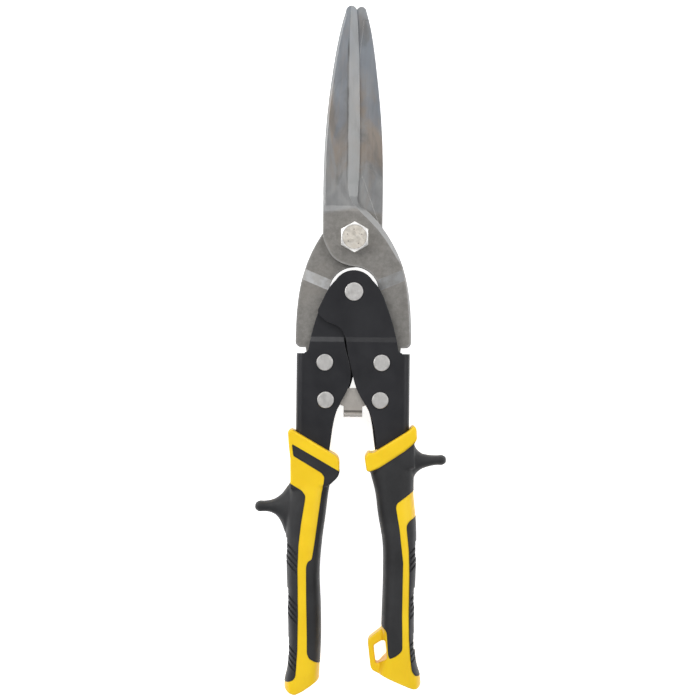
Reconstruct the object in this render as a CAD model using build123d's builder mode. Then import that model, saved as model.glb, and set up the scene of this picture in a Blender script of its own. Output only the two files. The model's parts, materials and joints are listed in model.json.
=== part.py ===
from build123d import *

import os
from math import cos, radians, sin

# Compound-action long-cut aviation snips, lying flat on their back.
#
# Units are millimetres. +Y runs from the grips to the blade tips, +X to the right and +Z up.
# The origin is where the axis of the blade pivot meets the surface that the snips lie on.
# MID is the height of the shear plane, where the two blades slide on each other. Everything is
# laid out about that plane: FRONT builds a piece as it stands in the right-hand, upper place, and
# BACK builds the same piece turned half a turn about the long axis, in the left-hand, lower place.

os.makedirs("parts", exist_ok=True)

# ---------------------------------------------------------------- driving dimensions
MID = 11.0  # height of the shear plane above the table, and half the grips' thickness
BLADE_T = 4.6  # thickness of each forged blade
FACE_GAP = 0.03  # half the clearance between the two blades' faces
TIP_Y = 104.2  # blade tips ahead of the pivot bolt
FRONT_SPINE = 14.3  # widest place of each blade, from the pivot axis
BACK_SPINE = 12.6

SHEET_T = 1.8  # sheet steel of the handles
FLANGE_OUT = 5.7  # outer face of a handle's flanges, from the shear plane
OUTER_PLATE = 6.8  # outer face of the plate that lies on top at the centre rivet
INNER_PLATE = 4.8  # outer face of the plate that lies under it
JOGGLE_TOP, JOGGLE_END = -44.6, -46.8
HANDLE_X = 25.4  # outer face of the handles' webs
HANDLE_TOP = -52.0
TANG_END = -188.0

CENTRE_Y = -24.3  # centre rivet, which joins the two handles
LINK_X, LINK_Y = 12.7, -56.0  # link rivets, each joining a handle to a blade arm
LOWER_X, LOWER_Y = 12.2, -72.8  # lower rivets: latch pivot and latch catch

BOLT_R = 4.0
BOLT_AF, BOLT_HEAD = 12.0, 5.3
NUT_AF, NUT_T = 13.0, 4.65
WASHER_T = 0.9
RIVET_R, RIVET_HEAD_R = 3.0, 3.7  # the four side rivets
CENTRE_R, CENTRE_HEAD_R = 3.3, 4.1
HEAD_T = 0.7
RUNNING = 0.05  # radial clearance of a pin in the hole that turns on it
OPEN_PIVOT = 0.3  # radial clearance at the link rivet that closes the linkage

ARC_R = 11.2  # hollow of the blade arms around the centre rivet
LATCH_LOW, LATCH_TOP = 2.5, 3.6  # the latch plate, from the shear plane

FRONT = Plane(origin=(0, 0, MID), x_dir=(1, 0, 0), z_dir=(0, 0, 1))
BACK = Plane(origin=(0, 0, MID), x_dir=(-1, 0, 0), z_dir=(0, 0, -1))


def save(piece, name):
    """Label a finished piece and write it as its own node."""
    piece.part.label = name
    export_step(piece.part, f"parts/{name}.step")


def side_plane(base):
    """Plane that looks at the piece from its side: x along the piece's y, y along its z."""
    return Plane(origin=base.origin, x_dir=base.y_dir, z_dir=base.y_dir.cross(base.z_dir))


def slab(base, outline, low, high, mode=Mode.ADD):
    """Extrude a closed outline between two heights above the shear plane."""
    with BuildSketch(base.offset(low)) as face:
        add(outline)
        make_face()
    extrude(face.sketch, amount=high - low, mode=mode)


def disc(base, x, y, radius, low, high, mode=Mode.ADD):
    """A cylinder between two heights above the shear plane."""
    with BuildSketch(base.offset(low)) as face:
        with Locations((x, y)):
            Circle(radius)
    extrude(face.sketch, amount=high - low, mode=mode)


# ---------------------------------------------------------------- blades
EDGE_HEEL = (1.1, 17.6)  # where the cutting edge ends
PAD_END, BLADE_START = 11.6, 14.2  # the pad steps down to the blade between these
BLADE_ROOT_T, BLADE_TIP_T = 4.2, 2.9
ARM_LEAN = 22.5  # the arms leave the pivot at this angle to -Y
RAMP_START, RAMP_END = 21.5, 26.3  # joggle of the arm, measured along it from the pivot
ARM_X, ARM_END = 26.0, -49.4  # shoulder at the end of each arm
TAIL_R = 7.0  # eye at the end of each arm, around the link rivet
RELIEF = 0.2  # depth of the hollow grinding on the inner face
ARM_BEVEL, SPINE_BEVEL = 0.6, 0.9


def blade_outline(spine):
    """The forging from above: tip, cutting edge, shoulder, arm, eye and the hollow of the arm."""
    wide = spine / FRONT_SPINE
    tip_top = (-2.2 * wide, TIP_Y)
    spine_end = (-5.0 * wide, TIP_Y - 2.6)
    spine_start = (-14.2 * wide, 3.0)
    with BuildLine() as line:
        Spline(
            spine_start,
            (-14.3 * wide, 20.0),
            (-13.3 * wide, 50.0),
            (-10.2 * wide, 77.0),
            spine_end,
            tangents=[(0, 1), (0.33, 1)],
        )
        ThreePointArc(spine_end, (-4.2 * wide, TIP_Y - 0.8), tip_top)
        ThreePointArc(tip_top, (-0.5, TIP_Y - 0.7), (0.1, TIP_Y - 2.5))
        Spline((0.1, TIP_Y - 2.5), (0.7, 93.0), (1.5, 68.0), (2.05, 40.0), EDGE_HEEL)
        ThreePointArc(EDGE_HEEL, (2.2, 14.6), (5.0, 12.6))
        Spline((5.0, 12.6), (12.9, 4.0), (19.5, -7.2), (23.8, -20.4), (25.6, -34.0), (ARM_X, -46.5))
        ThreePointArc((ARM_X, -46.5), (25.4, -48.4), (23.6, ARM_END))
        Polyline((23.6, ARM_END), (21.4, ARM_END), (20.9, -52.6), (19.7, LINK_Y))
        ThreePointArc((19.7, LINK_Y), (LINK_X, LINK_Y - TAIL_R), (5.7, LINK_Y))
        Spline((5.7, LINK_Y), (6.6, -46.0), (9.4, -35.0), (10.8, CENTRE_Y - 3.0))
        ThreePointArc((10.8, CENTRE_Y - 3.0), (9.1, CENTRE_Y + 6.5), (0.6, CENTRE_Y + ARC_R))
        Spline(
            (0.6, CENTRE_Y + ARC_R),
            (-4.6, -11.9),
            (-9.9, -8.6),
            (-13.2, -2.6),
            spine_start,
            tangents=[(-1, 0.1), (0, 1)],
        )
    return line.line


# sections of the ground bevel: y, ridge x, top of the blade there, edge x, height of the edge
BEVEL_SECTIONS = (
    (-12.8, 20.9, 4.75, 23.4, 4.38),
    (-7.2, 17.9, 4.63, 21.0, 2.83),
    (-1.0, 14.0, 4.63, 17.7, 2.39),
    (4.0, 10.1, 4.63, 14.4, 2.2),
    (8.8, 5.4, 4.63, 10.2, 2.11),
    (12.6, 1.6, 4.5, 6.0, 1.91),
    (15.2, -0.9, 4.19, 3.2, 1.35),
    (18.5, -2.5, 4.14, 1.6, 1.05),
    (24.0, -3.3, 4.06, 1.6, 0.75),
    (31.0, -3.6, 3.96, 2.15, 0.73),
    (42.0, -3.4, 3.80, 2.05, 0.73),
    (62.0, -3.5, 3.51, 1.65, 0.73),
    (81.0, -3.4, 3.24, 1.1, 0.73),
    (96.0, -2.8, 3.02, 0.55, 0.73),
    (106.0, -2.6, 2.87, -0.1, 0.73),
)


def ground_bevel(base):
    """What grinding takes off: a wedge along the cutting edge that turns down the shoulder."""
    with BuildPart() as wedge:
        for y, ridge, top, edge, land in BEVEL_SECTIONS:
            slope = (top - land) / (edge - ridge)
            across = Plane(origin=base.from_local_coords((0, y, 0)), x_dir=base.x_dir, z_dir=-base.y_dir)
            with BuildSketch(across):
                with BuildLine():
                    Polyline(
                        (ridge - 2, top + 2 * slope),
                        (edge, land),
                        (30.0, land - 0.001),
                        (30.0, 9.0),
                        (ridge - 2, 9.0),
                        close=True,
                    )
                make_face()
        loft(ruled=True)
    return wedge.part


def outer_rims(piece, base):
    """Upper edges of a forging: the long one of its spine and those down its arm."""
    spine_edges, arm_edges = [], []
    for edge in piece.edges():
        middle = base.to_local_coords(edge.position_at(0.5))
        if middle.Z < BLADE_T / 2 - 0.05:
            continue
        if edge.length > 60 and middle.X < -3.6:
            spine_edges.append(edge)
        if edge.length > 4 and -46 < middle.Y < -12 and middle.X > outer_arm_x(middle.Y) - 0.4:
            arm_edges.append(edge)
    return spine_edges, arm_edges


def outer_arm_x(y):
    """Rough x of the arm's outer side at a given y."""
    points = ((12.6, 5.0), (4.0, 12.9), (-7.2, 19.5), (-20.4, 23.8), (-34.0, 25.6), (-49.0, 26.0))
    for (y0, x0), (y1, x1) in zip(points, points[1:]):
        if y <= y0 and y >= y1:
            return x0 + (x1 - x0) * (y0 - y) / (y0 - y1)
    return 26.0


def blade(base, spine, link_clearance):
    """One forging: flat pad and blade, joggled arm, ground bevel, relief and the two holes."""
    along = Vector(sin(radians(ARM_LEAN)), -cos(radians(ARM_LEAN)), 0)
    lean_x = base.from_local_coords(along) - base.origin
    leaning = Plane(origin=base.origin, x_dir=lean_x, z_dir=lean_x.cross(base.z_dir))
    side = side_plane(base)
    low, top, half = FACE_GAP, BLADE_T + FACE_GAP, BLADE_T / 2
    with BuildPart() as piece:
        slab(base, blade_outline(spine), -half - 1, top + 1)
        with BuildSketch(leaning):
            with BuildLine():
                Polyline(
                    (-120, low),
                    (RAMP_START, low),
                    (RAMP_END, -half),
                    (80, -half),
                    (80, half),
                    (RAMP_END, half),
                    (RAMP_START, top),
                    (-120, top),
                    close=True,
                )
            make_face()
        extrude(amount=70, both=True, mode=Mode.INTERSECT)
        with BuildSketch(side):
            with BuildLine():
                Polyline(
                    (PAD_END, top + 0.01),
                    (BLADE_START, BLADE_ROOT_T),
                    (TIP_Y + 1, BLADE_TIP_T),
                    (TIP_Y + 1, top + 2),
                    (PAD_END, top + 2),
                    close=True,
                )
            make_face()
        extrude(amount=40, both=True, mode=Mode.SUBTRACT)
        add(ground_bevel(base), mode=Mode.SUBTRACT)
        with BuildLine() as relief:
            Polyline(
                (-3.2, 98.0),
                (-1.3, 80.0),
                (-1.6, 60.0),
                (-1.7, 26.0),
                (-3.2, 28.0),
                (-11.0, 6.0),
                (-20.0, 6.0),
                (-20.0, 98.0),
                close=True,
            )
        slab(base, relief.line, -1, FACE_GAP + RELIEF, Mode.SUBTRACT)
        disc(base, 0, 0, BOLT_R + RUNNING, -4, 8, Mode.SUBTRACT)
        disc(base, LINK_X, LINK_Y, RIVET_R + link_clearance, -4, 8, Mode.SUBTRACT)
        chamfer(outer_rims(piece, base)[1], length=ARM_BEVEL)
        chamfer(outer_rims(piece, base)[0], length=SPINE_BEVEL)
    return piece


front_blade = blade(FRONT, FRONT_SPINE, RUNNING)
save(front_blade, "front_blade")
back_blade = blade(BACK, BACK_SPINE, OPEN_PIVOT)
save(back_blade, "back_blade")

# ---------------------------------------------------------------- pivot bolt, washer and nut
FACE = BLADE_T + FACE_GAP + 0.02

with BuildPart() as pivot_bolt:
    with BuildSketch(FRONT.offset(FACE)):
        RegularPolygon(radius=BOLT_AF / 2, side_count=6, major_radius=False, rotation=30)
    extrude(amount=BOLT_HEAD)
    with BuildSketch(FRONT.offset(FACE + BOLT_HEAD)):
        Circle(BOLT_AF / 2 * 0.97)
    extrude(amount=-BOLT_HEAD, taper=-60, mode=Mode.INTERSECT)
    disc(FRONT, 0, 0, BOLT_R, -MID, FACE)
    chamfer(pivot_bolt.faces().sort_by(Axis.Z)[0].edges(), length=0.8)
save(pivot_bolt, "pivot_bolt")

with BuildPart() as pivot_washer:
    disc(BACK, 0, 0, 8.2, FACE, FACE + WASHER_T)
    disc(BACK, 0, 0, BOLT_R + RUNNING, 0, 9, Mode.SUBTRACT)
    chamfer(pivot_washer.faces().sort_by(Axis.Z)[0].edges().sort_by(SortBy.LENGTH)[-1], length=0.2)
save(pivot_washer, "pivot_washer")

NUT_LOW = FACE + WASHER_T
with BuildPart() as pivot_nut:
    with BuildSketch(BACK.offset(NUT_LOW)):
        RegularPolygon(radius=NUT_AF / 2, side_count=6, major_radius=False, rotation=12)
    extrude(amount=NUT_T)
    with BuildSketch(BACK.offset(NUT_LOW + NUT_T)):
        Circle(NUT_AF / 2 * 0.93)
    extrude(amount=-NUT_T, taper=-60, mode=Mode.INTERSECT)
    disc(BACK, 0, 0, BOLT_R + 0.03, 0, 12, Mode.SUBTRACT)
    disc(BACK, 0, 0, 5.0, NUT_LOW + NUT_T - 1.1, NUT_LOW + NUT_T + 1, Mode.SUBTRACT)
save(pivot_nut, "pivot_nut")

with BuildPart() as nut_insert:
    disc(BACK, 0, 0, 4.98, NUT_LOW + NUT_T - 1.08, NUT_LOW + NUT_T - 0.1)
    disc(BACK, 0, 0, BOLT_R + 0.03, 0, 12, Mode.SUBTRACT)
save(nut_insert, "nut_insert")

# ---------------------------------------------------------------- handles
BEND_R = 2.8  # outside radius of the bends between web and flanges
BEND_MID = BEND_R * (1 - cos(radians(45)))  # how far the middle of a bend lies inside its corner


def outer_edge():
    """Right-hand edge of the plates from the web up to the apex, shared by both flanges."""
    Polyline((22.4, TANG_END), (22.4, -52.6), (21.7, -51.6))
    ThreePointArc((21.7, -51.6), (20.5, -50.9), (20.0, -49.7))
    Spline((20.0, -49.7), (18.1, -40.8), (14.9, -30.9), (11.6, -23.4), (8.2, -19.2))


def top_flange_outline():
    """Flange whose apex plate lies on top: it covers the whole apex and ends in an S-shaped edge."""
    with BuildLine() as line:
        outer_edge()
        ThreePointArc((8.2, -19.2), (0.0, -14.7), (-8.2, -19.2))
        Spline((-8.2, -19.2), (-11.2, -23.1), (-13.9, -28.1), (-15.9, -32.2))
        ThreePointArc((-15.9, -32.2), (-15.9, -34.0), (-14.4, -35.8))
        Spline(
            (-14.4, -35.8),
            (-11.0, -38.2),
            (-7.4, -39.7),
            (-4.6, -42.4),
            (-3.4, -46.0),
            (-2.5, -51.3),
            (-0.5, -60.3),
            (0.6, -64.8),
            (2.3, -69.3),
            (6.5, -76.4),
            (9.7, -85.0),
            (11.3, -97.0),
            (14.5, -114.0),
            (16.5, -135.0),
            (16.4, TANG_END),
        )
        Line((16.4, TANG_END), (22.4, TANG_END))
    return line.line


def under_flange_outline():
    """Flange whose apex plate lies underneath: it stops just short of the other handle's S edge."""
    with BuildLine() as line:
        outer_edge()
        ThreePointArc((8.2, -19.2), (0.0, -14.7), (-8.2, -19.2))
        ThreePointArc((-8.2, -19.2), (-9.6, -23.2), (-9.2, -27.4))
        Spline((-9.2, -27.4), (-7.4, -33.0), (-2.6, -38.6), (2.6, -42.0), (4.1, -46.0))
        Spline(
            (4.1, -46.0),
            (3.1, -51.3),
            (1.1, -60.3),
            (1.4, -64.8),
            (3.0, -69.3),
            (6.4, -75.8),
            (8.9, -85.0),
            (10.5, -97.0),
            (14.5, -114.0),
            (16.5, -135.0),
            (16.4, TANG_END),
        )
        Line((16.4, TANG_END), (22.4, TANG_END))
    return line.line


def flange(base, outline, plate_out):
    """Sheet that follows the joggle: lower part at flange height, apex plate at its own height."""
    side = side_plane(base)
    with BuildPart() as sheet:
        slab(base, outline, 2, 8)
        with BuildSketch(side):
            with BuildLine():
                Polyline(
                    (-10, plate_out - SHEET_T),
                    (JOGGLE_TOP, plate_out - SHEET_T),
                    (JOGGLE_END, FLANGE_OUT - SHEET_T),
                    (TANG_END - 5, FLANGE_OUT - SHEET_T),
                    (TANG_END - 5, FLANGE_OUT),
                    (JOGGLE_END, FLANGE_OUT),
                    (JOGGLE_TOP, plate_out),
                    (-10, plate_out),
                    close=True,
                )
            make_face()
        extrude(amount=60, both=True, mode=Mode.INTERSECT)
    return sheet.part


def mirrored(outline):
    """The outline as BACK sees it, so that a right-hand flange stays on the right."""
    return outline.mirror(Plane.YZ)


def handle(base):
    """U-shaped sheet handle: top flange in front, under flange behind, web along the outside."""
    turned = Plane(origin=base.origin, x_dir=-base.x_dir, z_dir=-base.z_dir)
    with BuildPart() as piece:
        top_end = base.from_local_coords((0, HANDLE_TOP, 0))
        with BuildSketch(Plane(origin=top_end, x_dir=base.x_dir, z_dir=-base.y_dir)):
            with BuildLine():
                Polyline((21, FLANGE_OUT), (HANDLE_X - BEND_R, FLANGE_OUT))
                ThreePointArc(
                    (HANDLE_X - BEND_R, FLANGE_OUT),
                    (HANDLE_X - BEND_MID, FLANGE_OUT - BEND_MID),
                    (HANDLE_X, FLANGE_OUT - BEND_R),
                )
                Line((HANDLE_X, FLANGE_OUT - BEND_R), (HANDLE_X, -FLANGE_OUT + BEND_R))
                ThreePointArc(
                    (HANDLE_X, -FLANGE_OUT + BEND_R),
                    (HANDLE_X - BEND_MID, -FLANGE_OUT + BEND_MID),
                    (HANDLE_X - BEND_R, -FLANGE_OUT),
                )
                Polyline((HANDLE_X - BEND_R, -FLANGE_OUT), (21, -FLANGE_OUT), (21, -FLANGE_OUT + SHEET_T))
                Line((21, -FLANGE_OUT + SHEET_T), (HANDLE_X - BEND_R, -FLANGE_OUT + SHEET_T))
                ThreePointArc(
                    (HANDLE_X - BEND_R, -FLANGE_OUT + SHEET_T),
                    (HANDLE_X - SHEET_T - 0.29, -FLANGE_OUT + SHEET_T + 0.29),
                    (HANDLE_X - SHEET_T, -FLANGE_OUT + BEND_R),
                )
                Line((HANDLE_X - SHEET_T, -FLANGE_OUT + BEND_R), (HANDLE_X - SHEET_T, FLANGE_OUT - BEND_R))
                ThreePointArc(
                    (HANDLE_X - SHEET_T, FLANGE_OUT - BEND_R),
                    (HANDLE_X - SHEET_T - 0.29, FLANGE_OUT - SHEET_T - 0.29),
                    (HANDLE_X - BEND_R, FLANGE_OUT - SHEET_T),
                )
                Polyline(
                    (HANDLE_X - BEND_R, FLANGE_OUT - SHEET_T),
                    (21, FLANGE_OUT - SHEET_T),
                    (21, FLANGE_OUT),
                )
            make_face()
        extrude(amount=HANDLE_TOP - TANG_END)
        add(flange(base, top_flange_outline(), OUTER_PLATE))
        add(flange(turned, mirrored(under_flange_outline()), INNER_PLATE))
        disc(base, 0, CENTRE_Y, CENTRE_R + RUNNING, -9, 9, Mode.SUBTRACT)
        disc(base, LINK_X, LINK_Y, RIVET_R + RUNNING, -9, 9, Mode.SUBTRACT)
        disc(base, LOWER_X, LOWER_Y, RIVET_R + RUNNING, -9, 9, Mode.SUBTRACT)
    return piece


right_handle = handle(FRONT)
save(right_handle, "right_handle")
left_handle = handle(BACK)
save(left_handle, "left_handle")


# ---------------------------------------------------------------- rivets, washers and spacers
def rivet(base, x, y, shank_r, head_r, sheet_out):
    """Shank with two low chamfered heads, one on each outer face."""
    face = sheet_out + 0.02
    with BuildPart() as piece:
        disc(base, x, y, shank_r, -face - 0.1, face + 0.1)
        disc(base, x, y, head_r, face, face + HEAD_T)
        disc(base, x, y, head_r, -face - HEAD_T, -face)
        ends = piece.faces().sort_by(Axis.Z)
        chamfer(ends[-1].edges(), length=0.22)
        chamfer(ends[0].edges(), length=0.22)
    return piece


def ring(base, x, y, outside, inside, low, high):
    """Washer or sleeve around a rivet."""
    with BuildPart() as piece:
        disc(base, x, y, outside, low, high)
        disc(base, x, y, inside + RUNNING, low - 1, high + 1, Mode.SUBTRACT)
    return piece


centre_rivet = rivet(FRONT, 0, CENTRE_Y, CENTRE_R, CENTRE_HEAD_R, OUTER_PLATE)
save(centre_rivet, "centre_rivet")
SLEEVE_HALF = INNER_PLATE - SHEET_T - 0.05
centre_sleeve = ring(FRONT, 0, CENTRE_Y, 4.3, CENTRE_R, -SLEEVE_HALF, SLEEVE_HALF)
save(centre_sleeve, "centre_sleeve")

WASHER_LOW, WASHER_HIGH = BLADE_T / 2 + 0.05, FLANGE_OUT - SHEET_T - 0.05
for side_name, base in (("right", FRONT), ("left", BACK)):
    other = Plane(origin=base.origin, x_dir=-base.x_dir, z_dir=-base.z_dir)
    save(rivet(base, LINK_X, LINK_Y, RIVET_R, RIVET_HEAD_R, FLANGE_OUT), f"{side_name}_link_rivet")
    save(rivet(base, LOWER_X, LOWER_Y, RIVET_R, RIVET_HEAD_R, FLANGE_OUT), f"{side_name}_lower_rivet")
    near = ring(base, LINK_X, LINK_Y, 4.6, RIVET_R, WASHER_LOW, WASHER_HIGH)
    far = ring(other, -LINK_X, LINK_Y, 4.6, RIVET_R, WASHER_LOW, WASHER_HIGH)
    if base is FRONT:
        save(near, "right_washer_front")
        save(far, "right_washer_back")
    else:
        save(near, "left_washer_back")
        save(far, "left_washer_front")

right_sleeve = ring(FRONT, LOWER_X, LOWER_Y, 4.2, RIVET_R, -3.85, 2.2)
save(right_sleeve, "right_sleeve")
left_sleeve = ring(FRONT, -LOWER_X, LOWER_Y, 4.2, RIVET_R, -3.85, 2.2)
save(left_sleeve, "left_sleeve")

# ---------------------------------------------------------------- latch
SEAT_X, SEAT_Y, SEAT_R = -11.9, -69.0, 3.3  # seat of the hook with the latch lifted clear
with BuildPart() as latch:
    with BuildLine() as latch_line:
        Polyline((12.2, -68.2), (0.9, -67.4), (-3.0, -67.4))
        Spline((-3.0, -67.4), (-6.6, -65.3), (-11.4, -64.1), (-15.4, -65.0), (-17.3, -66.5))
        ThreePointArc((-17.3, -66.5), (-17.6, -67.0), (-17.1, -67.5))
        Line((-17.1, -67.5), (-15.0, -68.4))
        ThreePointArc((-15.0, -68.4), (SEAT_X, SEAT_Y + SEAT_R), (-8.75, -69.9))
        Polyline((-8.75, -69.9), (-8.7, -72.2), (-5.3, -75.2), (-4.1, -75.6), (-4.1, -80.2))
        Polyline((-4.1, -80.2), (4.3, -80.2), (4.3, -75.8), (5.8, -75.2), (10.2, -76.9))
        ThreePointArc((10.2, -76.9), (16.8, -72.8), (12.2, -68.2))
    slab(FRONT, latch_line.line, LATCH_LOW, LATCH_TOP)
    with BuildSketch(FRONT.offset(LATCH_LOW)):
        with Locations((0.1, -79.5)):
            Rectangle(8.4, 1.4)
    extrude(amount=6.0)
    with BuildSketch(FRONT.offset(LATCH_TOP + 1.6)):
        with Locations((-1.6, -80.2), (1.8, -80.2)):
            Rectangle(1.1, 0.9)
    extrude(amount=6, mode=Mode.SUBTRACT)
    disc(FRONT, LOWER_X, LOWER_Y, RIVET_R + RUNNING, 0, 9, Mode.SUBTRACT)
save(latch, "latch")

# ---------------------------------------------------------------- return spring
WIRE_R, COIL_R, PITCH, TURNS = 0.75, 5.3, 1.65, 2.5
COIL_LOW = -PITCH * TURNS / 2
with BuildPart() as return_spring:
    with BuildLine() as wire:
        Helix(
            pitch=PITCH,
            height=PITCH * TURNS,
            radius=COIL_R,
            center=(0, CENTRE_Y, MID + COIL_LOW),
            direction=(0, 0, 1),
        )
    with BuildSketch(Plane(origin=wire.line @ 0, z_dir=wire.line % 0)):
        Circle(WIRE_R)
    sweep(path=wire.line)
    legs = (
        ((COIL_R, CENTRE_Y, MID + COIL_LOW), (4.4, -60.0, MID - 0.6), (7.0, -68.2, MID - 0.4)),
        ((-COIL_R, CENTRE_Y, MID - COIL_LOW), (-4.4, -60.0, MID + 0.6), (-7.0, -68.2, MID + 0.4)),
    )
    for leg in legs:
        for start, stop in zip(leg[:-1], leg[1:]):
            run = Vector(*stop) - Vector(*start)
            with BuildSketch(Plane(origin=start, z_dir=run)):
                Circle(WIRE_R)
            extrude(amount=run.length)
            with Locations(stop):
                Sphere(WIRE_R)
        with Locations(leg[0]):
            Sphere(WIRE_R)
save(return_spring, "return_spring")

# ---------------------------------------------------------------- grips
GRIP_HALF = MID  # half the thickness of the grips, which the snips lie on
COLLAR_HALF = 9.6
STOP_HALF = 4.6  # half the thickness of the thumb stops
LOOP_HALF = 4.5

# each station of a grip: y, inner x, outer x, half thickness, corner radius
LEFT_STATIONS = (
    (-107.0, -9.2, -27.6, 9.4, 4.6),
    (-113.0, -10.3, -28.0, 9.8, 5.0),
    (-124.0, -11.6, -28.8, 10.6, 5.4),
    (-136.0, -13.1, -28.9, 11.2, 5.6),
    (-150.0, -14.0, -28.4, 11.4, 5.8),
    (-166.0, -13.3, -27.8, 11.4, 5.8),
    (-180.0, -13.1, -27.4, 11.3, 5.6),
    (-193.0, -13.5, -27.7, 10.8, 5.0),
    (-199.0, -13.6, -29.2, 10.2, 4.6),
    (-206.0, -13.6, -29.4, 9.2, 4.2),
)
RIGHT_STATIONS = (
    (-102.0, 7.6, 27.8, 9.4, 4.6),
    (-113.0, 10.3, 27.8, 9.8, 5.0),
    (-124.0, 12.4, 28.8, 10.6, 5.4),
    (-136.0, 14.5, 29.4, 11.2, 5.6),
    (-150.0, 14.9, 29.1, 11.4, 5.8),
    (-166.0, 14.6, 28.6, 11.4, 5.8),
    (-180.0, 14.2, 28.8, 11.3, 5.6),
    (-191.0, 13.6, 30.2, 10.8, 5.0),
    (-197.0, 12.6, 32.0, 10.2, 4.6),
    (-204.0, 12.0, 32.2, 9.2, 4.2),
)
LEFT_END = ((-10, -100), (-10, -196.0), (-14.2, -199.2), (-21.0, -203.8), (-24.5, -205.4), (-27.2, -204.8))
LEFT_END += ((-28.8, -202.8), (-31.0, -200.0), (-31.0, -100.0))
RIGHT_END = ((5, -96), (5, -192.6), (11.3, -195.2), (27.7, -202.3), (30.0, -202.5), (31.9, -200.6))
RIGHT_END += ((33.5, -196.0), (33.5, -96.0))
LEFT_COLLAR = ((-29.1, -86.6), (-27.4, -85.6), (-25.4, -86.7), (-9.0, -96.2), (-6.6, -97.6), (-5.5, -99.6))
LEFT_COLLAR += (
    (-5.5, -105.0),
    (-6.3, -107.2),
    (-10.2, -111.0),
    (-27.6, -113.0),
    (-27.8, -99.3),
    (-28.6, -93.0),
)
RIGHT_COLLAR = ((25.2, -85.9), (27.0, -83.6), (28.7, -84.6), (29.1, -90.4), (23.6, -95.2), (18.0, -98.9))
RIGHT_COLLAR += ((10.8, -103.6), (8.0, -104.8), (6.3, -104.6), (5.3, -98.0), (7.0, -95.4), (9.0, -96.1))
# thumb stops: x, centre y, length along y, half thickness
LEFT_STOP = (
    (-24.0, -118.5, 22.0, 6.6),
    (-28.2, -119.6, 15.0, 5.8),
    (-31.0, -120.6, 9.6, 5.0),
    (-34.0, -121.0, 6.2, 4.6),
    (-43.5, -121.3, 4.4, 4.0),
)
RIGHT_STOP = (
    (24.0, -101.0, 21.0, 6.6),
    (28.2, -100.2, 14.5, 5.8),
    (31.0, -99.7, 8.6, 5.0),
    (34.0, -99.6, 5.8, 4.6),
    (42.6, -99.4, 4.4, 4.0),
)
LOOP = (
    (15.5, -173.6),
    (14.0, -174.8),
    (8.2, -179.2),
    (7.6, -180.6),
    (9.0, -192.6),
    (9.9, -193.9),
    (17.5, -197.4),
)
LOOP += ((20.0, -190.0), (18.0, -176.0))
LOOP_HOLE = ((10.7, -182.6), (15.4, -179.6), (16.4, -187.6), (11.7, -190.9))
# the dark overmould seen from the front: a panel along the inside and a band along the outside
LEFT_PANEL = (
    (-26.9, -92.7),
    (-4.0, -105.8),
    (-4.0, -196.0),
    (-13.6, -190.9),
    (-16.5, -189.6),
    (-18.3, -188.4),
)
LEFT_PANEL += ((-19.2, -186.2), (-19.2, -177.4), (-19.6, -160.0), (-19.7, -148.5), (-18.8, -146.5))
LEFT_PANEL += ((-16.8, -145.3), (-15.7, -137.4), (-14.2, -125.9), (-12.8, -114.4), (-11.7, -109.3))
LEFT_PANEL += ((-11.7, -107.0), (-13.3, -105.2), (-26.2, -97.8))
LEFT_BAND = ((-27.5, -110.1), (-22.2, -113.3), (-20.7, -115.4), (-20.8, -117.2), (-22.5, -128.2))
LEFT_BAND += ((-23.5, -137.5), (-23.8, -148.0), (-23.2, -168.3), (-23.2, -184.3), (-24.0, -198.1))
LEFT_BAND += (
    (-24.7, -199.1),
    (-27.2, -199.9),
    (-35.0, -200.2),
    (-48.0, -200.0),
    (-48.0, -108.0),
    (-34.0, -107.0),
)
RIGHT_PANEL = ((30.0, -89.6), (29.0, -90.5), (23.5, -95.2), (18.0, -98.9), (10.8, -103.6), (8.0, -104.7))
RIGHT_PANEL += ((2.0, -104.7), (2.0, -166.0), (14.3, -174.8), (15.5, -175.7), (16.2, -177.1), (16.9, -187.2))
RIGHT_PANEL += (
    (17.5, -189.0),
    (20.2, -187.8),
    (22.5, -185.9),
    (23.2, -184.4),
    (22.9, -167.8),
    (23.1, -144.7),
)
RIGHT_PANEL += (
    (21.4, -130.1),
    (19.7, -120.4),
    (20.1, -118.6),
    (21.9, -117.2),
    (27.6, -113.0),
    (48.0, -105.0),
)
RIGHT_PANEL += ((48.0, -88.0),)
RIGHT_BAND = ((28.6, -124.5), (25.7, -126.4), (24.6, -128.2), (24.6, -130.1), (25.6, -139.2), (26.0, -150.0))
RIGHT_BAND += ((25.9, -167.8), (26.2, -179.3), (26.9, -188.4), (27.6, -193.9), (29.0, -196.2), (40.0, -197.0))
RIGHT_BAND += ((40.0, -120.0),)
LEFT_RIBS = (-137.0, -140.5, -144.0, -158.5, -162.0, -165.5, -179.5, -183.0, -186.5)
RIGHT_RIBS = (-137.5, -140.5, -143.5, -157.5, -160.5, -163.5, -178.0, -181.0, -184.0)


def body_loft(stations):
    """Rounded body through its stations."""
    with BuildPart() as body:
        for y, x_in, x_out, half, corner in stations:
            with BuildSketch(Plane(origin=((x_in + x_out) / 2, y, MID), x_dir=(1, 0, 0), z_dir=(0, -1, 0))):
                RectangleRounded(abs(x_out - x_in), 2 * half, corner)
        loft()
    return body.part


def outline_prism(points, half):
    """Upright block over a plan polygon, the same amount above and below the shear plane."""
    with BuildPart() as block:
        with BuildSketch(FRONT.offset(-half)):
            with BuildLine():
                Polyline(*points, close=True)
            make_face()
        extrude(amount=2 * half)
    return block.part


def softened_prism(points, half, soft):
    """The same block with its upper and lower rims bevelled."""
    with BuildPart() as block:
        add(outline_prism(points, half))
        caps = block.faces().sort_by(Axis.Z)
        chamfer(caps[0].edges() + caps[-1].edges(), length=soft)
    return block.part


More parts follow.
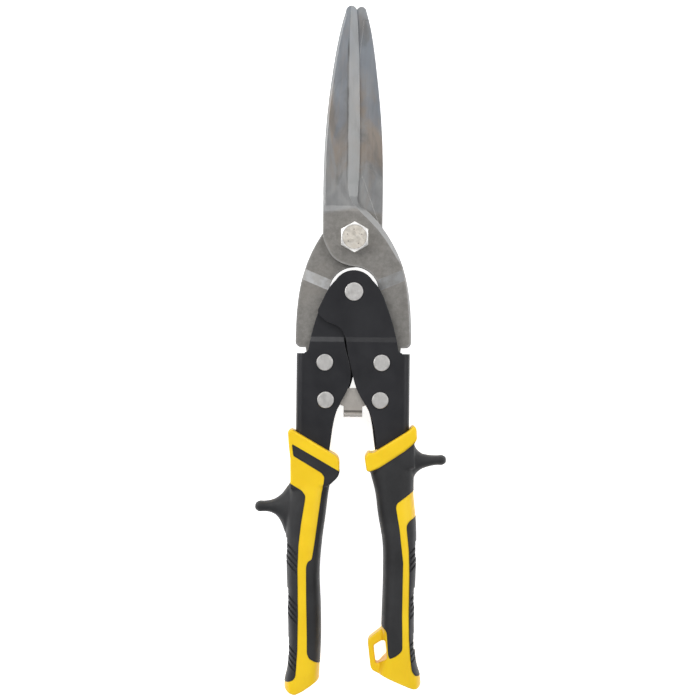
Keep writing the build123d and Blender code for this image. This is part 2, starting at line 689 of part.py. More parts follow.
def stop_loft(stations):
    """Thumb stop: flares into the grip and ends in a rounded finger."""
    with BuildPart() as finger:
        for x, y, length, half in stations:
            with BuildSketch(Plane(origin=(x, y, MID), x_dir=(0, 1, 0), z_dir=(1, 0, 0))):
                RectangleRounded(length, 2 * half, min(length, 2 * half) * 0.45)
        loft()
        chamfer(finger.faces().sort_by(Axis.X)[0 if stations[0][0] < 0 else -1].edges(), length=0.9)
    return finger.part


def grip(stations, end, collar, stop, loop=None):
    """Whole grip: rounded body, collar, thumb stop and, on one side, the hanging loop."""
    with BuildPart() as body:
        add(body_loft(stations))
        add(outline_prism(end, 20), mode=Mode.INTERSECT)
        add(softened_prism(collar, COLLAR_HALF, 0.9))
        add(stop_loft(stop))
        if loop:
            add(outline_prism(loop, LOOP_HALF))
        with Locations((0, -150, MID)):
            Box(120, 160, 2 * GRIP_HALF, mode=Mode.INTERSECT)
        if loop:
            add(outline_prism(LOOP_HOLE, 20), mode=Mode.SUBTRACT)
    return body.part


def main_solids(piece, least=5):
    """The piece without the splinters of a few cubic millimetres that the cuts leave."""
    with BuildPart() as kept:
        add([solid for solid in piece.solids() if solid.volume > least])
    return kept


def grip_pieces(side_name, tang, stations, end, collar, stop, panel, band, ribs, loop=None):
    """Hard yellow shell, and the soft dark overmould let into it, both around the steel tang."""
    whole = grip(stations, end, collar, stop, loop)
    outward = 1 if stations[0][1] > 0 else -1
    with BuildPart() as overmould:
        add(outline_prism(panel, 20))
        add(outline_prism(band, 20))
        add(whole, mode=Mode.INTERSECT)
        for rib_y in ribs:
            with Locations(Location((outward * 29.4, rib_y, MID), (0, 0, outward * 28))):
                Box(3.6, 1.3, 15, mode=Mode.SUBTRACT)
        add(tang, mode=Mode.SUBTRACT)
    with BuildPart() as shell:
        add(whole)
        add(outline_prism(panel, 20), mode=Mode.SUBTRACT)
        add(outline_prism(band, 20), mode=Mode.SUBTRACT)
        add(tang, mode=Mode.SUBTRACT)
    save(main_solids(shell), f"{side_name}_grip_shell")
    save(main_solids(overmould), f"{side_name}_grip_overmould")


grip_pieces(
    "left",
    left_handle.part,
    LEFT_STATIONS,
    LEFT_END,
    LEFT_COLLAR,
    LEFT_STOP,
    LEFT_PANEL,
    LEFT_BAND,
    LEFT_RIBS,
)
grip_pieces(
    "right",
    right_handle.part,
    RIGHT_STATIONS,
    RIGHT_END,
    RIGHT_COLLAR,
    RIGHT_STOP,
    RIGHT_PANEL,
    RIGHT_BAND,
    RIGHT_RIBS,
    LOOP,
)
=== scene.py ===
import json
import math

import bmesh
import bpy
import numpy as np
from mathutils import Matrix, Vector

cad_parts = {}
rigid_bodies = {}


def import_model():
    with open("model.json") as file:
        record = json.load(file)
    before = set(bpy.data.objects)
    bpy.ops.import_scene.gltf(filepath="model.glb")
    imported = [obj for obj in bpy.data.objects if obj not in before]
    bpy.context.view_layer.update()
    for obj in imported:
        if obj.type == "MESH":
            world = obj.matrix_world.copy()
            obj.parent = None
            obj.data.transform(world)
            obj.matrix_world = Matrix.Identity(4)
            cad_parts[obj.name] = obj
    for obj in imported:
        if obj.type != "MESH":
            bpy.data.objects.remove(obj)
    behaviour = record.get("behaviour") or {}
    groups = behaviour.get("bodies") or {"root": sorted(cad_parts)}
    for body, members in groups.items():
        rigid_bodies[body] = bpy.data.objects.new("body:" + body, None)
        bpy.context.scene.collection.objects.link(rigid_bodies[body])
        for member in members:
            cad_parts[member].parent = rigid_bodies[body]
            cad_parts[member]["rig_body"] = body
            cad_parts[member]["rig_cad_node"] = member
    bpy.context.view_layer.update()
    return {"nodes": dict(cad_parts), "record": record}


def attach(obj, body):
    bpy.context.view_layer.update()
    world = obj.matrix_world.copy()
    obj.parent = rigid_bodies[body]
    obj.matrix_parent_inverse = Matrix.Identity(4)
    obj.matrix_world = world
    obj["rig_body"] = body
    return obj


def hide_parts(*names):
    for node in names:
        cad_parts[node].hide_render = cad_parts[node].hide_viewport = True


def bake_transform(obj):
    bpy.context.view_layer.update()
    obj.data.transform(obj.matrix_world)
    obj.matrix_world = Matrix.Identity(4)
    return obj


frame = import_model()
nodes = frame["nodes"]

MM = 0.001
MID = 11.0  # height of the plane between the blades above the surface that the snips lie on
SHARP_ANGLE = 40  # degrees between two faces from which their edge is shaded sharp


# ---------------------------------------------------------------- node helpers
class Graph:
    """Short calls for building one material's node tree."""

    def __init__(self, name):
        self.mat = bpy.data.materials.new(name)
        self.mat.use_nodes = True
        self.tree = self.mat.node_tree
        self.bsdf = self.tree.nodes["Principled BSDF"]
        self.coords = self.node("TexCoord", {}).outputs["Object"]
        self.x, self.y, self.z = self.node("SeparateXYZ", {0: self.coords}).outputs
        self.normal = self.node("NewGeometry", {}).outputs["Normal"]

    def put(self, socket, value):
        if isinstance(value, bpy.types.NodeSocket):
            self.tree.links.new(value, socket)
        else:
            socket.default_value = value

    def node(self, kind, inputs, **settings):
        """A new node with its settings, and each input set or linked by its name or number."""
        made = self.tree.nodes.new("ShaderNode" + kind)
        for name, value in settings.items():
            setattr(made, name, value)
        for key, value in inputs.items():
            self.put(made.inputs[key], value)
        return made

    def noise(self, scale, detail=4.0, rough=0.55, stretch=(1, 1, 1), distortion=0.0):
        place = self.node("Mapping", {"Vector": self.coords, "Scale": stretch}).outputs[0]
        inputs = {"Vector": place, "Scale": scale, "Detail": detail, "Roughness": rough}
        inputs["Distortion"] = distortion
        return self.node("TexNoise", inputs).outputs["Fac"]

    def cells(self, scale):
        """Distance from the nearest of many scattered points."""
        return self.node("TexVoronoi", {"Vector": self.coords, "Scale": scale}).outputs["Distance"]

    def calc(self, operation, a, b=0.0):
        return self.node("Math", {0: a, 1: b}, operation=operation).outputs[0]

    def times(self, a, b):
        return self.calc("MULTIPLY", a, b)

    def away(self, value, place):
        """How far a coordinate is from a place, on either side."""
        return self.calc("ABSOLUTE", self.calc("SUBTRACT", value, place))

    def radius(self, x, y):
        """Length of the plan offset x, y."""
        return self.calc("SQRT", self.calc("ADD", self.times(x, x), self.times(y, y)))

    def span(self, value, low, high, to_low=0.0, to_high=1.0):
        """Eases from to_low to to_high while the value goes from low to high."""
        inputs = {"Value": value, "From Min": low, "From Max": high, "To Min": to_low, "To Max": to_high}
        return self.node("MapRange", inputs, interpolation_type="SMOOTHSTEP").outputs["Result"]

    def mix(self, factor, a, b):
        """Colour between a and b."""
        return self.node("Mix", {0: factor, 6: a, 7: b}, data_type="RGBA").outputs[2]

    def blend(self, factor, a, b):
        """Number between a and b."""
        return self.node("Mix", {0: factor, 2: a, 3: b}).outputs[0]

    def flatness(self):
        """1 where the surface lies flat and 0 where it stands upright."""
        return self.calc("ABSOLUTE", self.node("SeparateXYZ", {0: self.normal}).outputs[2])

    def soft_normal(self, radius):
        """The normal as if edges were rounded to the radius."""
        return self.node("Bevel", {"Radius": radius}, samples=4).outputs[0]

    def edges(self, radius):
        """How far the rounded normal departs from the flat one: 1 on edges, 0 on faces."""
        dot = self.node("VectorMath", {0: self.soft_normal(radius), 1: self.normal}, operation="DOT_PRODUCT")
        return self.span(self.calc("SUBTRACT", 1.0, dot.outputs["Value"]), 0.02, 0.2)

    def bump(self, height, distance, strength, radius):
        inputs = {"Height": height, "Distance": distance, "Strength": strength}
        inputs["Normal"] = self.soft_normal(radius)
        self.put(self.bsdf.inputs["Normal"], self.node("Bump", inputs).outputs[0])

    def set(self, **values):
        for name, value in values.items():
            self.put(self.bsdf.inputs[name.replace("_", " ").title().replace("Ior", "IOR")], value)


def rgb(r, g, b):
    return (r, g, b, 1.0)


# ---------------------------------------------------------------- materials
# Where the forged hub ends and the ground blade begins: y plus GROUND_SLOPE times the distance in x
GROUND_FROM, GROUND_TO, GROUND_SLOPE = 0.0122, 0.0142, 0.16
RIDGE_X = 0.0035  # where painted shade runs along the top of the bevel, to either side of the pivot
RIDGE_WIDTH = (0.00055, 0.0002)  # where the line has faded out, and where it is full
RIDGE_START, RIDGE_END = (0.022, 0.03), (0.092, 0.084)
BEVEL_LEAN = ((0.93, 0.89), (0.45, 0.6))  # flatness of a ground bevel, which gets painted light: less than flat, more than upright
RAMP_LEAN = ((0.993, 0.975), (0.7, 0.85))  # flatness of the gentler ramps of the forged arms, which get a painted highlight
SHOULDER_FADE = (-0.016, -0.011, 0.35, 0.85)  # y range over which the painted highlight on the shoulder's bevel gets brighter
HEAD_CORNERS = (0.00525, 0.0054)  # distance from the bolt's axis at which its face breaks away
TURNED_RING = ((0.00505, 0.0052), (0.00545, 0.0053))
PIT_TURNS, PIT_REACH, PIT_SIZE = (20, 95, 160, 215, 300), 0.0034, (0.00042, 0.0002)
LATCH_FOLD = -0.0779  # y where the latch's tab is folded up, and where a line of painted shade lies


def ground_steel(g, cloud, along):
    """Colour of the ground blade: brushed grey under straw, blue and dark heat tints."""
    brown = g.span(g.noise(38, 5, 0.6, (1.6, 0.55, 1), 0.8), 0.46, 0.64)
    blue = g.span(g.noise(31, 4, 0.55, (1.5, 0.5, 1.7), 1.2), 0.5, 0.66)
    dark = g.span(g.noise(46, 5, 0.6, (1.4, 0.6, 1), 1.5), 0.55, 0.7)
    colour = g.mix(g.span(cloud, 0.3, 0.7), rgb(0.28, 0.28, 0.28), rgb(0.345, 0.345, 0.34))
    colour = g.mix(g.times(brown, 0.7), colour, rgb(0.30, 0.24, 0.19))
    colour = g.mix(g.times(blue, 0.65), colour, rgb(0.22, 0.255, 0.30))
    colour = g.mix(g.times(dark, 0.5), colour, rgb(0.16, 0.158, 0.155))
    return g.mix(g.span(along, 0.4, 0.75, 0.0, 0.12), colour, rgb(0.5, 0.49, 0.48))


def forged_steel(g, fine, flat, leaning):
    """Colour of the forged hub and arms, with painted highlights on the ramps and on the shoulder's bevel.
    """
    colour = g.mix(g.span(g.noise(420, 8, 0.7), 0.3, 0.7), rgb(0.225, 0.215, 0.20), rgb(0.30, 0.288, 0.27))
    colour = g.mix(g.span(g.noise(70, 4, 0.6), 0.45, 0.75, 0.0, 0.4), colour, rgb(0.33, 0.305, 0.275))
    colour = g.mix(g.span(fine, 0.58, 0.72, 0.0, 0.35), colour, rgb(0.42, 0.40, 0.38))
    colour = g.mix(g.span(fine, 0.42, 0.28, 0.0, 0.4), colour, rgb(0.13, 0.125, 0.115))
    # painted highlight on the tilted ramps of the arms, made patchy by noise
    ramp = g.times(g.span(flat, *RAMP_LEAN[0]), g.span(flat, *RAMP_LEAN[1]))
    ramp = g.times(ramp, g.span(g.y, 0.004, -0.004))
    patchy_sheen = g.span(g.noise(330, 5, 0.65, (1, 0.6, 1)), 0.4, 0.62, 0.25, 0.85)
    colour = g.mix(g.times(ramp, patchy_sheen), colour, rgb(0.43, 0.435, 0.445))
    # painted highlight on the shoulder's bevel
    shoulder = g.times(leaning, g.span(g.y, *SHOULDER_FADE))
    return g.mix(shoulder, colour, rgb(0.45, 0.45, 0.445))


def blade_steel():
    g = Graph("blade_steel")
    flat = g.flatness()
    slope = g.times(g.calc("ABSOLUTE", g.x), GROUND_SLOPE)
    working = g.span(g.calc("ADD", g.y, slope), GROUND_FROM, GROUND_TO)
    cloud = g.noise(120, 6, 0.62, (1.3, 0.7, 1), 0.4)
    fine = g.noise(1500, 6, 0.7)
    along = g.noise(700, 4, 0.7, (1.0, 0.03, 0.6))
    leaning = g.times(g.span(flat, *BEVEL_LEAN[0]), g.span(flat, *BEVEL_LEAN[1]))
    ground = ground_steel(g, cloud, along)
    # painted light: where the ground bevel tilts, it is turned a plainer, lighter grey
    ground = g.mix(g.times(g.times(leaning, working), 0.6), ground, rgb(0.31, 0.315, 0.315))
    base = g.mix(working, forged_steel(g, fine, flat, leaning), ground)
    # painted highlight along the edges of the forged hub
    wide_rim_highlight = g.times(g.edges(0.0019), g.calc("SUBTRACT", 1.0, working))
    base = g.mix(g.times(wide_rim_highlight, 0.6), base, rgb(0.50, 0.495, 0.485))
    # painted highlight on all edges, weaker on the ground blade
    base = g.mix(g.times(g.edges(0.0007), g.blend(working, 0.7, 0.42)), base, rgb(0.62, 0.615, 0.6))
    # painted shade: a dark line along the top of the bevel, on the outer faces only
    off_ridge = g.away(g.calc("ABSOLUTE", g.x), RIDGE_X)
    ridge_shade = g.times(g.span(off_ridge, *RIDGE_WIDTH), g.span(g.y, *RIDGE_START))
    outside = g.span(g.away(g.z, MID * MM), 0.0015, 0.002)
    ridge_shade = g.times(g.times(ridge_shade, outside), g.span(g.y, *RIDGE_END))
    uneven = g.span(cloud, 0.35, 0.65, 0.25, 0.75)
    base = g.mix(g.times(ridge_shade, uneven), base, rgb(0.09, 0.088, 0.085))
    rough = g.blend(working, g.span(cloud, 0.2, 0.8, 0.5, 0.6), g.span(cloud, 0.25, 0.75, 0.40, 0.50))
    g.set(base_color=base, metallic=0.92, roughness=rough)
    g.bump(g.blend(working, fine, g.blend(0.5, along, cloud)), 0.00005, 0.4, 0.0004)
    return g.mat


def plated_steel():
    """Bolt, washer and nut. The bolt's face has a turned ring and plain pits instead of marks."""
    g = Graph("plated_steel")
    pits = g.span(g.cells(900), 0.05, 0.16)
    base = g.mix(g.span(g.noise(500, 6, 0.6), 0.3, 0.75), rgb(0.76, 0.70, 0.61), rgb(0.88, 0.83, 0.75))
    base = g.mix(g.span(g.noise(1300, 4, 0.7), 0.62, 0.74, 0.0, 0.7), base, rgb(0.40, 0.37, 0.32))
    base = g.mix(pits, rgb(0.35, 0.32, 0.27), base)
    reach = g.radius(g.x, g.y)
    turned = g.times(g.span(reach, *TURNED_RING[0]), g.span(reach, *TURNED_RING[1]))
    # painted highlight on the bolt head's chamfered corners
    base = g.mix(g.times(g.span(reach, *HEAD_CORNERS), 0.85), base, rgb(0.97, 0.96, 0.94))
    base = g.mix(g.times(turned, 0.6), base, rgb(0.42, 0.38, 0.33))
    for turn in PIT_TURNS:
        x, y = PIT_REACH * math.cos(math.radians(turn)), PIT_REACH * math.sin(math.radians(turn))
        away = g.radius(g.calc("SUBTRACT", g.x, x), g.calc("SUBTRACT", g.y, y))
        base = g.mix(g.span(away, *PIT_SIZE, 0.0, 0.7), base, rgb(0.22, 0.19, 0.16))
    # painted highlight on the edges
    base = g.mix(g.times(g.edges(0.0004), 0.6), base, rgb(0.95, 0.93, 0.89))
    g.set(base_color=base, metallic=0.9, roughness=g.span(g.noise(700, 5, 0.6), 0.3, 0.7, 0.34, 0.5))
    g.bump(g.blend(0.5, g.noise(1800, 6, 0.65), pits), 0.00005, 0.6, 0.0003)
    return g.mat


def turned_steel(name, tone, rough, fold=None):
    """Rivets, spring and latch. A latch has a line of painted shade where its tab is folded up, at the given
    y.
    """
    g = Graph(name)
    base = g.mix(
        g.span(g.noise(650, 6, 0.65, (1, 0.6, 1)), 0.3, 0.7),
        rgb(0.70 * tone, 0.68 * tone, 0.655 * tone),
        rgb(0.80 * tone, 0.78 * tone, 0.755 * tone),
    )
    stain = g.span(g.noise(260, 4, 0.6), 0.58, 0.74, 0.0, 0.3)
    base = g.mix(stain, base, rgb(0.5 * tone, 0.48 * tone, 0.45 * tone))
    # painted highlight on the edges
    base = g.mix(g.times(g.edges(0.0004), 0.5), base, rgb(0.8 * tone, 0.8 * tone, 0.79 * tone))
    if fold:
        base = g.mix(0.5, base, rgb(0.56, 0.50, 0.43))
        # painted shade along the fold of the latch's tab
        base = g.mix(g.span(g.away(g.y, fold), 0.0007, 0.00035, 0.0, 0.8), base, rgb(0.11, 0.105, 0.095))
    g.set(base_color=base, metallic=1.0, roughness=g.span(g.noise(900, 5, 0.6), 0.3, 0.7, *rough))
    g.bump(g.noise(2200, 5, 0.7, (1, 0.2, 1)), 0.00005, 0.5, 0.00035)
    return g.mat


def black_steel():
    g = Graph("black_steel")
    haze = g.noise(55, 5, 0.6, (1, 0.6, 1), 0.3)
    base = g.mix(g.span(haze, 0.3, 0.75), rgb(0.012, 0.012, 0.0145), rgb(0.021, 0.021, 0.024))
    dust = g.span(g.noise(2600, 3, 0.6), 0.66, 0.78, 0.0, 0.22)
    base = g.mix(dust, base, rgb(0.09, 0.09, 0.095))
    # edges lighter: partly real wear to bare steel, partly painted sheen
    worn_edges_and_sheen = g.times(g.edges(0.0005), g.span(g.noise(320, 5, 0.65), 0.42, 0.66, 0.08, 0.75))
    base = g.mix(g.times(worn_edges_and_sheen, 0.45), base, rgb(0.22, 0.22, 0.22))
    g.set(base_color=base, metallic=0.15, roughness=g.span(g.noise(140, 6, 0.65), 0.25, 0.75, 0.33, 0.44))
    g.set(specular_ior_level=0.45)
    g.bump(g.blend(0.5, g.noise(1500, 5, 0.6), g.noise(4200, 3, 0.6)), 0.00004, 0.4, 0.0004)
    return g.mat


def yellow_plastic():
    """Moulded plastic, with painted shade that turns its flanks a darker orange."""
    g = Graph("yellow_plastic")
    tone = g.mix(g.span(g.noise(45, 4, 0.6), 0.3, 0.7), rgb(0.86, 0.555, 0.006), rgb(0.93, 0.625, 0.010))
    # painted shade: darker orange where the surface turns to the side
    tone = g.mix(g.span(g.flatness(), 0.86, 0.35, 0.0, 0.6), tone, rgb(0.74, 0.40, 0.008))
    marks = g.span(g.noise(850, 5, 0.7, (1, 0.3, 1)), 0.64, 0.78, 0.0, 0.16)
    tone = g.mix(marks, tone, rgb(0.62, 0.37, 0.01))
    g.set(base_color=tone, roughness=g.span(g.noise(300, 6, 0.6), 0.3, 0.7, 0.36, 0.46))
    g.set(specular_ior_level=0.4, subsurface_weight=0.04, subsurface_scale=0.002)
    g.bump(g.noise(3300, 4, 0.6), 0.00005, 0.35, 0.0003)
    return g.mat


def black_rubber():
    g = Graph("black_rubber")
    dark, light = rgb(0.0155, 0.0155, 0.0165), rgb(0.026, 0.026, 0.0275)
    tone = g.mix(g.span(g.noise(60, 4, 0.6), 0.3, 0.7), dark, light)
    tone = g.mix(g.span(g.noise(900, 5, 0.7), 0.62, 0.8, 0.0, 0.18), tone, rgb(0.09, 0.088, 0.085))
    g.set(base_color=tone, roughness=g.span(g.noise(220, 6, 0.6), 0.3, 0.7, 0.5, 0.6))
    g.set(specular_ior_level=0.36)
    g.bump(g.blend(0.4, g.noise(3800, 4, 0.6), g.cells(2600)), 0.00006, 0.4, 0.0004)
    return g.mat


def nylon():
    g = Graph("nut_nylon")
    tone = g.mix(g.span(g.noise(400, 4, 0.6), 0.3, 0.7), rgb(0.62, 0.63, 0.60), rgb(0.72, 0.73, 0.70))
    g.set(base_color=tone, roughness=0.5)
    g.bump(g.noise(2500, 4, 0.6), 0.00004, 0.3, 0.0002)
    return g.mat


looks = {
    "blade_steel": blade_steel(),
    "plated_steel": plated_steel(),
    "rivet_steel": turned_steel("rivet_steel", 0.93, (0.36, 0.5)),
    "spring_steel": turned_steel("spring_steel", 0.55, (0.3, 0.42)),
    "latch_steel": turned_steel("latch_steel", 0.84, (0.36, 0.5), fold=LATCH_FOLD),
    "black_steel": black_steel(),
    "yellow_plastic": yellow_plastic(),
    "black_rubber": black_rubber(),
    "nut_nylon": nylon(),
}


def dress(mesh, look):
    """Gives a mesh one material and smooth shading."""
    mesh.materials.clear()
    mesh.materials.append(looks[look])
    mesh.polygons.foreach_set("use_smooth", [True] * len(mesh.polygons))


slot_of = {s["node"]: s["material_slot"] for s in frame["record"]["subparts"]}
for name, obj in nodes.items():
    dress(obj.data, slot_of[name])


# ---------------------------------------------------------------- mesh helpers
SAME_HEIGHT = 1e-7  # metres within which an edge's two ends count as level
LYING_FLAT = 0.9  # a face whose normal rises more than this is a top or a bottom
CORNER_SHARE = 0.4  # how much of a side one rounded corner may take up
FUSE_VOXEL, SOFTEN_PASSES = 0.42, 8


def new_object(name, bm):
    mesh = bpy.data.meshes.new(name)
    bm.to_mesh(mesh)
    bm.free()
    obj = bpy.data.objects.new(name, mesh)
    bpy.context.scene.collection.objects.link(obj)
    return obj


def rounded(points, radius=0.8, steps=4):
    """Turns the corners of a closed polygon into short curves and leaves its long edges alone."""
    out = []
    for i, p in enumerate(points):
        ends = []
        for q in (points[i - 1], points[(i + 1) % len(points)]):
            reach = math.hypot(q[0] - p[0], q[1] - p[1])
            part = min(radius, CORNER_SHARE * reach) / reach
            ends.append((p[0] + (q[0] - p[0]) * part, p[1] + (q[1] - p[1]) * part))
        for k in range(steps + 1):
            t = k / steps
            weights = ((1 - t) ** 2, 2 * t * (1 - t), t**2)
            corner = (ends[0], p, ends[1])
            out.append(tuple(sum(w * v[axis] for w, v in zip(weights, corner)) for axis in (0, 1)))
    return out


def prism(name, points, low, high, hole=None, bevel=0.0):
    """Closed block over a plan polygon, between two heights above the plane between the blades."""
    bm = bmesh.new()
    rims = []
    for z in (low, high):
        rims.append([bm.verts.new((x * MM, y * MM, (MID + z) * MM)) for x, y in points])
    n = len(points)
    for i in range(n):
        bm.faces.new((rims[0][i], rims[0][(i + 1) % n], rims[1][(i + 1) % n], rims[1][i]))
    if hole:
        inner = []
        for z in (low, high):
            inner.append([bm.verts.new((x * MM, y * MM, (MID + z) * MM)) for x, y in hole])
        m = len(hole)
        for i in range(m):
            bm.faces.new((inner[0][(i + 1) % m], inner[0][i], inner[1][i], inner[1][(i + 1) % m]))
        for rim, ring in zip(rims, inner):
            edges = [bm.edges.get((rim[i], rim[(i + 1) % n])) for i in range(n)]
            edges += [bm.edges.get((ring[i], ring[(i + 1) % m])) for i in range(m)]
            bmesh.ops.triangle_fill(bm, edges=edges, use_beauty=True)
    else:
        bm.faces.new(rims[0])
        bm.faces.new(rims[1])
    bmesh.ops.recalc_face_normals(bm, faces=bm.faces)
    if bevel:
        level = [e for e in bm.edges if abs(e.verts[0].co.z - e.verts[1].co.z) < SAME_HEIGHT]
        rim_edges = [e for e in level if not all(abs(f.normal.z) > LYING_FLAT for f in e.link_faces)]
        rounding = {"segments": 3, "profile": 0.5, "affect": "EDGES", "clamp_overlap": True}
        bmesh.ops.bevel(bm, geom=rim_edges, offset=bevel * MM, **rounding)
    return new_object(name, bm)


def smooth_values(stations, count):
    """Stations in between, on a smooth curve through the given ones."""
    s = np.array(stations, float)
    y = s[:, 0]
    slopes = np.gradient(s, y, axis=0)
    out = []
    for t in np.linspace(y[0], y[-1], count):
        way = 1 if y[-1] > y[0] else -1
        i = min(max(int(np.searchsorted(way * y, way * t)) - 1, 0), len(y) - 2)
        h = y[i + 1] - y[i]
        u = (t - y[i]) / h
        a, b = s[i], s[i + 1]
        out.append(
            (2 * u**3 - 3 * u**2 + 1) * a
            + (u**3 - 2 * u**2 + u) * h * slopes[i]
            + (3 * u**2 - 2 * u**3) * b
            + (u**3 - u**2) * h * slopes[i + 1]
        )
    return out


def tube(name, stations, along="y", count=90, ring=64, power=3.0):
    """Closed superellipse body through stations: place, centre, half width and half thickness."""
    bm = bmesh.new()
    rings = []
    for place, centre, wide, thick in smooth_values(stations, count):
        loop = []
        for k in range(ring):
            a = 2 * math.pi * k / ring
            c, s = math.cos(a), math.sin(a)
            u = wide * math.copysign(abs(c) ** (2 / power), c)
            w = thick * math.copysign(abs(s) ** (2 / power), s)
            co = (centre + u, place, MID + w) if along == "y" else (place, centre + u, MID + w)
            loop.append(bm.verts.new([v * MM for v in co]))
        rings.append(loop)
    for a, b in zip(rings, rings[1:]):
        for k in range(ring):
            bm.faces.new((a[k], a[(k + 1) % ring], b[(k + 1) % ring], b[k]))
    bm.faces.new(rings[0])
    bm.faces.new(rings[-1])
    bmesh.ops.recalc_face_normals(bm, faces=bm.faces)
    return new_object(name, bm)


def apply_all(obj):
    """Puts the modifiers' result into the mesh."""
    graph = bpy.context.evaluated_depsgraph_get()
    mesh = bpy.data.meshes.new_from_object(obj.evaluated_get(graph))
    obj.modifiers.clear()
    old = obj.data
    obj.data = mesh
    bpy.data.meshes.remove(old)
    return obj


def cut(obj, tool, operation="DIFFERENCE", drop=True):
    """Boolean with a tool, which is then dropped unless it is needed again."""
    modifier = obj.modifiers.new("cut", "BOOLEAN")
    modifier.operation = operation
    modifier.solver = "EXACT"
    modifier.object = tool
    apply_all(obj)
    if drop:
        bpy.data.objects.remove(tool)


def joined(name, objects):
    """One object that holds the meshes of several."""
    bm = bmesh.new()
    for o in objects:
        bm.from_mesh(o.data)
        bpy.data.objects.remove(o)
    return new_object(name, bm)


def fused(obj):
    """Overlapping closed pieces become one skin with soft inner corners."""
    remesh = obj.modifiers.new("fuse", "REMESH")
    remesh.mode = "VOXEL"
    remesh.voxel_size = FUSE_VOXEL * MM
    soften = obj.modifiers.new("soften", "SMOOTH")
    soften.factor = 0.5
    soften.iterations = SOFTEN_PASSES
    return apply_all(obj)


def inset_copy(obj, name, depth):
    """A copy of the skin pushed inwards."""
    copy = obj.copy()
    copy.data = obj.data.copy()
    copy.name = name
    bpy.context.scene.collection.objects.link(copy)
    n = len(copy.data.vertices)
    co = np.zeros(n * 3, np.float32)
    no = np.zeros(n * 3, np.float32)
    copy.data.vertices.foreach_get("co", co)
    copy.data.vertices.foreach_get("normal", no)
    copy.data.vertices.foreach_set("co", co - no * depth * MM)
    copy.data.update()
    return copy


def finish_piece(obj, name, look, body, replaced):
    obj.name = name
    obj.data.name = name
    dress(obj.data, look)
    obj.data.set_sharp_from_angle(angle=math.radians(SHARP_ANGLE))
    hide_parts(*replaced)
    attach(obj, body)


# ---------------------------------------------------------------- grips
# Stations of a grip: y, inner edge, outer edge and half thickness. Of a thumb stop: x, middle y,
# half width and half thickness. Ends, collars, panels and bands are plan outlines.
LEFT_STATIONS = (
    (-107.0, -9.2, -27.6, 9.4),
    (-113.0, -10.3, -28.0, 9.8),
    (-124.0, -11.6, -29.25, 10.4),
    (-136.0, -13.1, -29.35, 10.9),
    (-150.0, -14.0, -28.85, 10.97),
    (-166.0, -13.3, -28.25, 10.97),
    (-180.0, -13.1, -27.85, 10.9),
    (-193.0, -13.5, -28.15, 10.5),
    (-199.0, -13.6, -29.45, 9.9),
    (-206.0, -13.4, -29.3, 9.2),
)
RIGHT_STATIONS = (
    (-98.0, 6.6, 27.8, 9.0),
    (-106.0, 8.4, 27.8, 9.4),
    (-113.0, 10.3, 27.8, 9.8),
    (-124.0, 11.85, 28.8, 10.4),
    (-136.0, 13.95, 29.3, 10.9),
    (-150.0, 14.35, 29.1, 10.97),
    (-166.0, 14.05, 28.6, 10.97),
    (-180.0, 13.65, 28.8, 10.9),
    (-191.0, 13.05, 30.0, 10.5),
    (-197.0, 12.05, 31.8, 9.9),
    (-204.0, 12.0, 32.0, 9.2),
)
LEFT_END = (
    (-10, -100), (-10, -196.0), (-13.8, -198.0), (-21.0, -203.0), (-24.5, -204.8), (-27.2, -204.2),
    (-29.3, -202.2), (-32.0, -199.0), (-32.0, -100.0),
)
RIGHT_END = (
    (5, -96), (5, -191.8), (11.3, -194.5), (27.7, -201.6), (30.0, -201.9), (31.9, -200.2),
    (33.5, -196.0), (33.5, -96.0),
)
LEFT_COLLAR = (
    (-29.1, -86.6), (-27.4, -85.6), (-25.4, -86.7), (-9.0, -96.2), (-6.6, -97.6), (-5.5, -99.6),
    (-5.5, -105.0), (-6.3, -107.2), (-10.2, -111.0), (-27.6, -113.0), (-27.8, -99.3),
    (-28.6, -93.0),
)
RIGHT_COLLAR = (
    (25.2, -85.9), (27.0, -83.6), (28.7, -84.6), (29.1, -90.4), (23.6, -95.2), (18.0, -98.9),
    (10.8, -103.6), (8.0, -104.8), (6.3, -104.6), (5.3, -98.0), (7.0, -95.4), (9.0, -96.1),
)
# Fills the notch between the right collar and its thumb stop
RIGHT_SHOULDER = (
    (14.0, -100.5), (23.6, -94.6), (27.7, -91.4), (28.0, -103.0), (14.0, -104.0),
)
LEFT_STOP = (
    (-22.0, -121.0, 14.5, 6.8),
    (-26.2, -122.3, 13.2, 6.6),
    (-28.6, -122.9, 11.6, 6.2),
    (-29.8, -122.9, 9.8, 5.9),
    (-31.2, -121.9, 7.0, 5.4),
    (-33.4, -121.1, 4.3, 4.9),
    (-36.0, -120.9, 2.9, 4.6),
    (-39.0, -120.9, 2.4, 4.3),
    (-42.4, -121.0, 2.1, 3.8),
    (-43.4, -121.0, 1.2, 2.4),
)
RIGHT_STOP = (
    (22.0, -101.0, 12.5, 6.8),
    (25.5, -100.4, 11.0, 6.6),
    (27.3, -99.8, 8.6, 6.2),
    (28.4, -99.9, 6.2, 5.8),
    (30.5, -100.0, 4.0, 5.2),
    (34.0, -99.8, 2.7, 4.6),
    (38.0, -99.5, 2.2, 4.3),
    (41.2, -99.4, 2.0, 3.8),
    (42.2, -99.4, 1.2, 2.4),
)
LOOP = (
    (19.0, -172.6), (14.2, -174.6), (8.4, -179.1), (7.6, -180.8), (9.0, -192.4), (10.0, -194.0),
    (17.5, -197.4), (21.0, -190.0),
)
LOOP_HOLE = (
    (10.7, -182.6), (15.4, -179.6), (16.4, -187.6), (11.7, -190.9),
)
